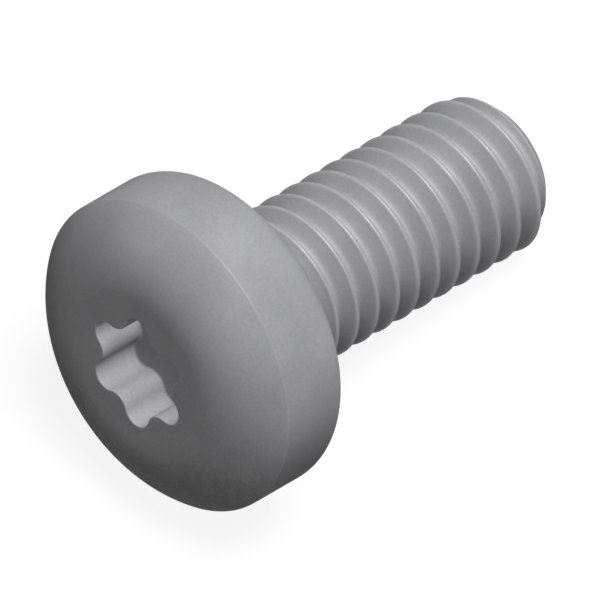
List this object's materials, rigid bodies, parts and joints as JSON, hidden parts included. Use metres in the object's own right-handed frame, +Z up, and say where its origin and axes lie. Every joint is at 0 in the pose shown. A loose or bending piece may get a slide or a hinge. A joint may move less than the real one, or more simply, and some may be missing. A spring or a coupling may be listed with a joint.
{
  "type": "self-tapping screw",
  "caption": "Pan-head self-tapping screw with a crowned head, a star-shaped drive recess and a right-hand thread along its straight shank, which ends in a chamfer.",
  "frame": {"origin": "on the surface that the screw lies on, under the middle of its box", "axes": "+Z up, +X towards the shank's end along the length of the lying screw, +Y across it"},
  "size_m": [0.0188, 0.012, 0.0122],
  "materials": {
    "steel": "matte grey zinc-flake coat on cold-headed steel, as rolled and tumbled"
  },
  "bodies": {
    "root": {"screw": "steel"}
  },
  "joints": []
}
